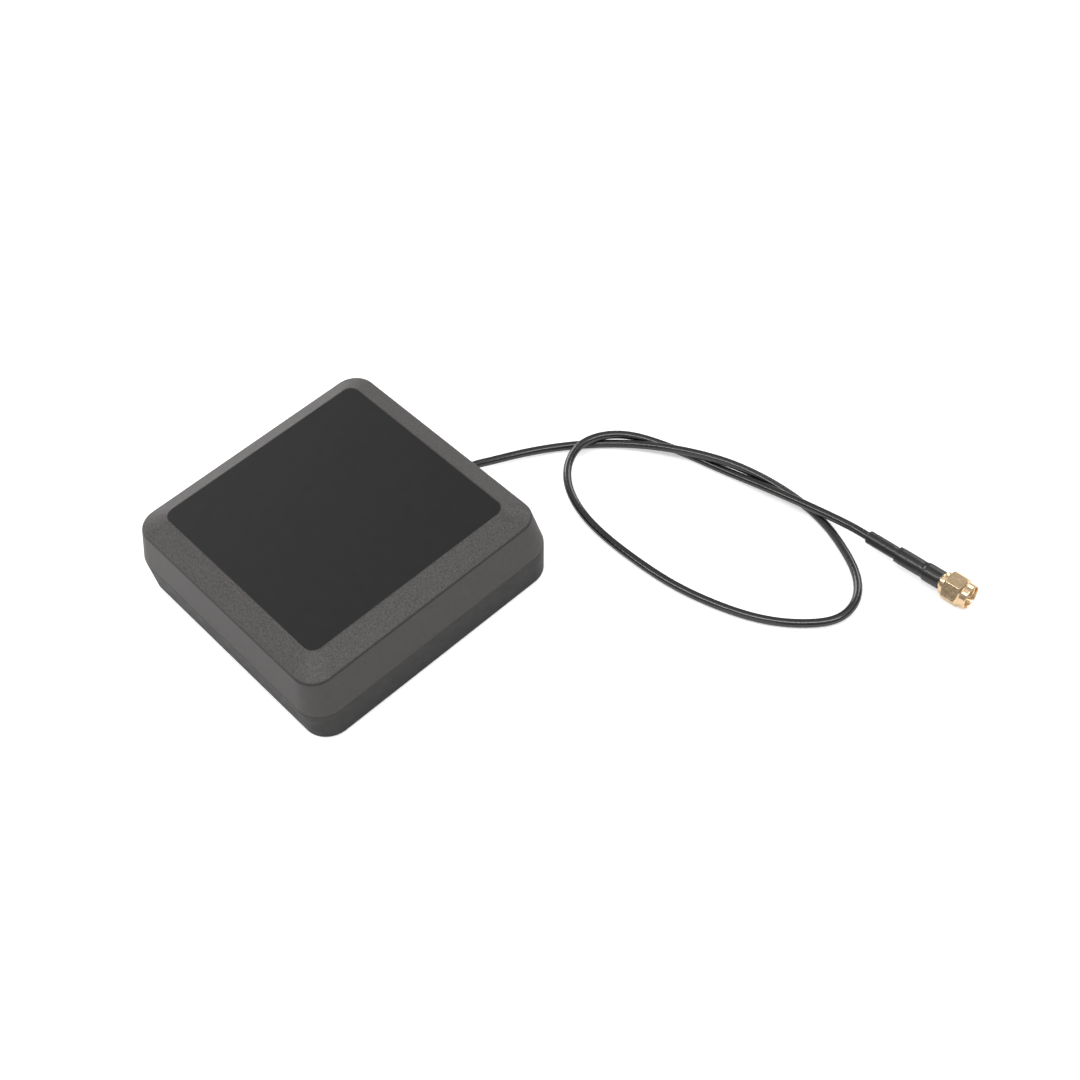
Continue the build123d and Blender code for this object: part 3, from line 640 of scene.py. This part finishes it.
def circuit_board():
    finish = Finish("circuit_board", (0.012, 0.075, 0.032), 0.3)
    finish.set("Coat Weight", 0.3)
    return finish.mottle(1.5 * MM, 0.2).scuffed(2 * MM, 0.06).bumped(0.3 * MM, 0.008 * MM).material


def adhesive():
    finish = Finish("adhesive", (0.55, 0.52, 0.45), 0.75)
    return finish.mottle(1 * MM, 0.08).scuffed(0.6 * MM, 0.08).bumped(0.3 * MM, 0.02 * MM).material


def ceramic():
    finish = Finish("ceramic", (0.46, 0.40, 0.31), 0.55)
    return finish.mottle(0.6 * MM, 0.06).scuffed(1.5 * MM, 0.06).bumped(0.15 * MM, 0.01 * MM).material


def silver():
    finish = Finish("silver", (0.78, 0.77, 0.74), 0.38, metallic=1.0)
    return finish.mottle(2 * MM, 0.05).scuffed(0.8 * MM, 0.1).bumped(0.2 * MM, 0.006 * MM).material


def tinned_brass():
    finish = Finish("tinned_brass", (0.66, 0.62, 0.54), 0.3, metallic=1.0)
    return finish.mottle(0.6 * MM, 0.08).scuffed(0.4 * MM, 0.1).bumped(0.2 * MM, 0.006 * MM).material


def tin_plate():
    finish = Finish("tin_plate", (0.66, 0.66, 0.65), 0.3, metallic=1.0)
    finish.rounded(0.1 * MM)
    return finish.mottle(4 * MM, 0.06).scuffed(1.5 * MM, 0.1).bumped(1 * MM, 0.01 * MM).material


def chip_plastic():
    finish = Finish("chip_plastic", (0.02, 0.02, 0.021), 0.6)
    return finish.mottle(0.2 * MM, 0.2).scuffed(0.5 * MM, 0.08).bumped(0.1 * MM, 0.008 * MM).material


def filter_metal():
    finish = Finish("filter_metal", (0.60, 0.55, 0.42), 0.3, metallic=1.0)
    finish.rounded(0.06 * MM)
    return finish.mottle(0.8 * MM, 0.05).scuffed(0.4 * MM, 0.08).bumped(0.2 * MM, 0.004 * MM).material


def chip_ceramic():
    finish = Finish("chip_ceramic", (0.36, 0.27, 0.18), 0.5)
    return finish.mottle(0.3 * MM, 0.15).scuffed(0.3 * MM, 0.08).bumped(0.1 * MM, 0.006 * MM).material


def solder():
    finish = Finish("solder", (0.62, 0.62, 0.63), 0.25, metallic=1.0)
    return finish.mottle(0.5 * MM, 0.08).scuffed(0.3 * MM, 0.1).bumped(0.3 * MM, 0.012 * MM).material


def cable_sheath():
    """Glossy black jacket."""
    finish = Finish("cable_sheath", (0.0075, 0.0063, 0.0058), 0.18, specular=1.0)
    return finish.mottle(0.8 * MM, 0.2).scuffed(2.5 * MM, 0.04).bumped(0.12 * MM, 0.0008 * MM).material


def silvered_wire():
    finish = Finish("silvered_wire", (0.75, 0.74, 0.72), 0.28, metallic=1.0)
    return finish.mottle(0.4 * MM, 0.12).scuffed(0.2 * MM, 0.1).bumped(0.18 * MM, 0.02 * MM).material


def white_plastic():
    finish = Finish("white_plastic", (0.78, 0.78, 0.76), 0.4)
    finish.set("Subsurface Weight", 0.1)
    return finish.mottle(0.8 * MM, 0.03).scuffed(0.5 * MM, 0.06).bumped(0.2 * MM, 0.004 * MM).material


def shrink_tube():
    finish = Finish("shrink_tube", (0.0065, 0.0057, 0.0053), 0.31, specular=0.8)
    return finish.mottle(0.6 * MM, 0.15).scuffed(1.5 * MM, 0.04).bumped(0.4 * MM, 0.001 * MM).material


def gold_plate():
    finish = Finish("gold_plate", (0.93, 0.69, 0.43), 0.17, metallic=1.0)
    finish.rounded(0.07 * MM)
    return finish.mottle(1.5 * MM, 0.05).scuffed(0.6 * MM, 0.06).bumped(0.15 * MM, 0.003 * MM).material


def bronze():
    finish = Finish("bronze", (0.62, 0.42, 0.24), 0.35, metallic=1.0)
    return finish.mottle(0.5 * MM, 0.08).scuffed(0.4 * MM, 0.08).bumped(0.2 * MM, 0.005 * MM).material


def red_silicone():
    finish = Finish("red_silicone", (0.42, 0.05, 0.03), 0.5)
    return finish.mottle(0.4 * MM, 0.1).scuffed(0.4 * MM, 0.06).bumped(0.2 * MM, 0.006 * MM).material


FINISHES = [radome_plastic, base_plastic, silicone, steel, nickel, black_rubber, circuit_board,
            adhesive, ceramic, silver, tinned_brass, tin_plate, chip_plastic, filter_metal,
            chip_ceramic, solder, cable_sheath, silvered_wire, white_plastic, shrink_tube, gold_plate,
            bronze, red_silicone]


def finish_nodes(looks):
    """Gives every CAD node the look of its material slot."""
    for obj in frame["nodes"].values():
        slot = obj.data.materials[0].name
        obj.data.materials[0] = looks[slot]


# ---------------------------------------------------------------- stage
def floor_material():
    material = bpy.data.materials.new("floor")
    material.use_nodes = True
    shader = material.node_tree.nodes["Principled BSDF"]
    shader.inputs["Base Color"].default_value = (0.93, 0.93, 0.93, 1)
    shader.inputs["Roughness"].default_value = 0.9
    shader.inputs["Specular IOR Level"].default_value = 0.1
    nodes, links = material.node_tree.nodes, material.node_tree.links
    lift = nodes.new("ShaderNodeMath")
    lift.operation = "MULTIPLY"
    lift.inputs[1].default_value = FLOOR_LIFT
    links.new(camera_only(nodes), lift.inputs[0])
    links.new(lift.outputs[0], shader.inputs["Emission Strength"])
    shader.inputs["Emission Color"].default_value = (1, 1, 1, 1)
    return material


def floor():
    half = FLOOR_HALF
    mesh = bpy.data.meshes.new("floor")
    corners = [(-half, -half, 0), (half, -half, 0), (half, half, 0), (-half, half, 0)]
    mesh.from_pydata(corners, [], [(0, 1, 2, 3)])
    plane = bpy.data.objects.new("floor", mesh)
    plane.location.z = -FLOOR_DROP
    mesh.materials.append(floor_material())
    bpy.context.scene.collection.objects.link(plane)


def camera_only(nodes):
    """Share that is 1 for what the camera sees directly and 0 for what lights the object."""
    return nodes.new("ShaderNodeLightPath").outputs["Is Camera Ray"]


def studio():
    """Dim surroundings, darker towards the horizon, that the camera sees as the pale backdrop."""
    world = bpy.data.worlds.new("studio")
    bpy.context.scene.world = world
    world.use_nodes = True
    nodes, links = world.node_tree.nodes, world.node_tree.links
    split = nodes.new("ShaderNodeSeparateXYZ")
    links.new(nodes.new("ShaderNodeTexCoord").outputs["Generated"], split.inputs[0])
    height = nodes.new("ShaderNodeMapRange")
    height.inputs["To Min"].default_value = HORIZON
    height.inputs["To Max"].default_value = ZENITH
    links.new(split.outputs["Z"], height.inputs["Value"])
    shown = nodes.new("ShaderNodeMix")
    shown.inputs["B"].default_value = 1.0
    links.new(camera_only(nodes), shown.inputs["Factor"])
    links.new(height.outputs["Result"], shown.inputs["A"])
    links.new(shown.outputs["Result"], nodes["Background"].inputs["Strength"])
    nodes["Background"].inputs["Color"].default_value = (1, 1, 1, 1)


def softbox(name, azimuth, elevation, power, size=(SOFTBOX_WIDTH, SOFTBOX_WIDTH)):
    """Soft light facing the object, with its first side level."""
    light = bpy.data.lights.new(name, "AREA")
    light.shape = "RECTANGLE"
    light.size, light.size_y = size
    light.energy = power
    lamp = bpy.data.objects.new(name, light)
    back = direction(azimuth, elevation)
    lamp.location = SOFTBOX_AIM + back * SOFTBOX_DISTANCE
    lamp.rotation_mode = "QUATERNION"
    lamp.rotation_quaternion = (-back).to_track_quat("-Z", "Y")
    bpy.context.scene.collection.objects.link(lamp)


def direction(azimuth, elevation):
    """Unit vector towards a light or camera; azimuth 0 is in front, 90 to the right."""
    turn, rise = math.radians(azimuth), math.radians(elevation)
    return Vector((math.sin(turn) * math.cos(rise), -math.cos(turn) * math.cos(rise), math.sin(rise)))


def camera():
    low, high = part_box("radome_cover")
    width = high.x - low.x
    aim = Vector((VIEW_AIM[0] * width, VIEW_AIM[1] * width, 0))
    back = direction(VIEW_AZIMUTH, VIEW_ELEVATION)
    data = bpy.data.cameras.new("camera")
    data.lens = VIEW_LENS
    data.sensor_width = SENSOR_WIDTH
    data.clip_start = CLIP_START
    eye = bpy.data.objects.new("camera", data)
    eye.location = aim + back * VIEW_DISTANCE * width
    eye.rotation_mode = "QUATERNION"
    roll = Quaternion((0, 0, 1), math.radians(VIEW_ROLL))
    eye.rotation_quaternion = (-back).to_track_quat("-Z", "Y") @ roll
    bpy.context.scene.collection.objects.link(eye)
    bpy.context.scene.camera = eye


# ---------------------------------------------------------------- the scene
def main():
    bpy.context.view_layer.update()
    looks = {make.__name__: make() for make in FINISHES}
    finish_nodes(looks)
    lead(looks["cable_sheath"])
    coupling_nut(looks)
    shrunk_sleeve("sleeve_on_cable", "cable_sleeve", looks, CABLE_SLEEVE_WRINKLE)
    shrunk_sleeve("sleeve_on_plug", "plug_sleeve", looks, PLUG_SLEEVE_WRINKLE, (BLOB, HOLLOW))

    floor()
    studio()
    for name, place in LIGHTS.items():
        softbox(name, *place)
    bpy.context.scene.view_settings.view_transform = "Standard"
    camera()


main()
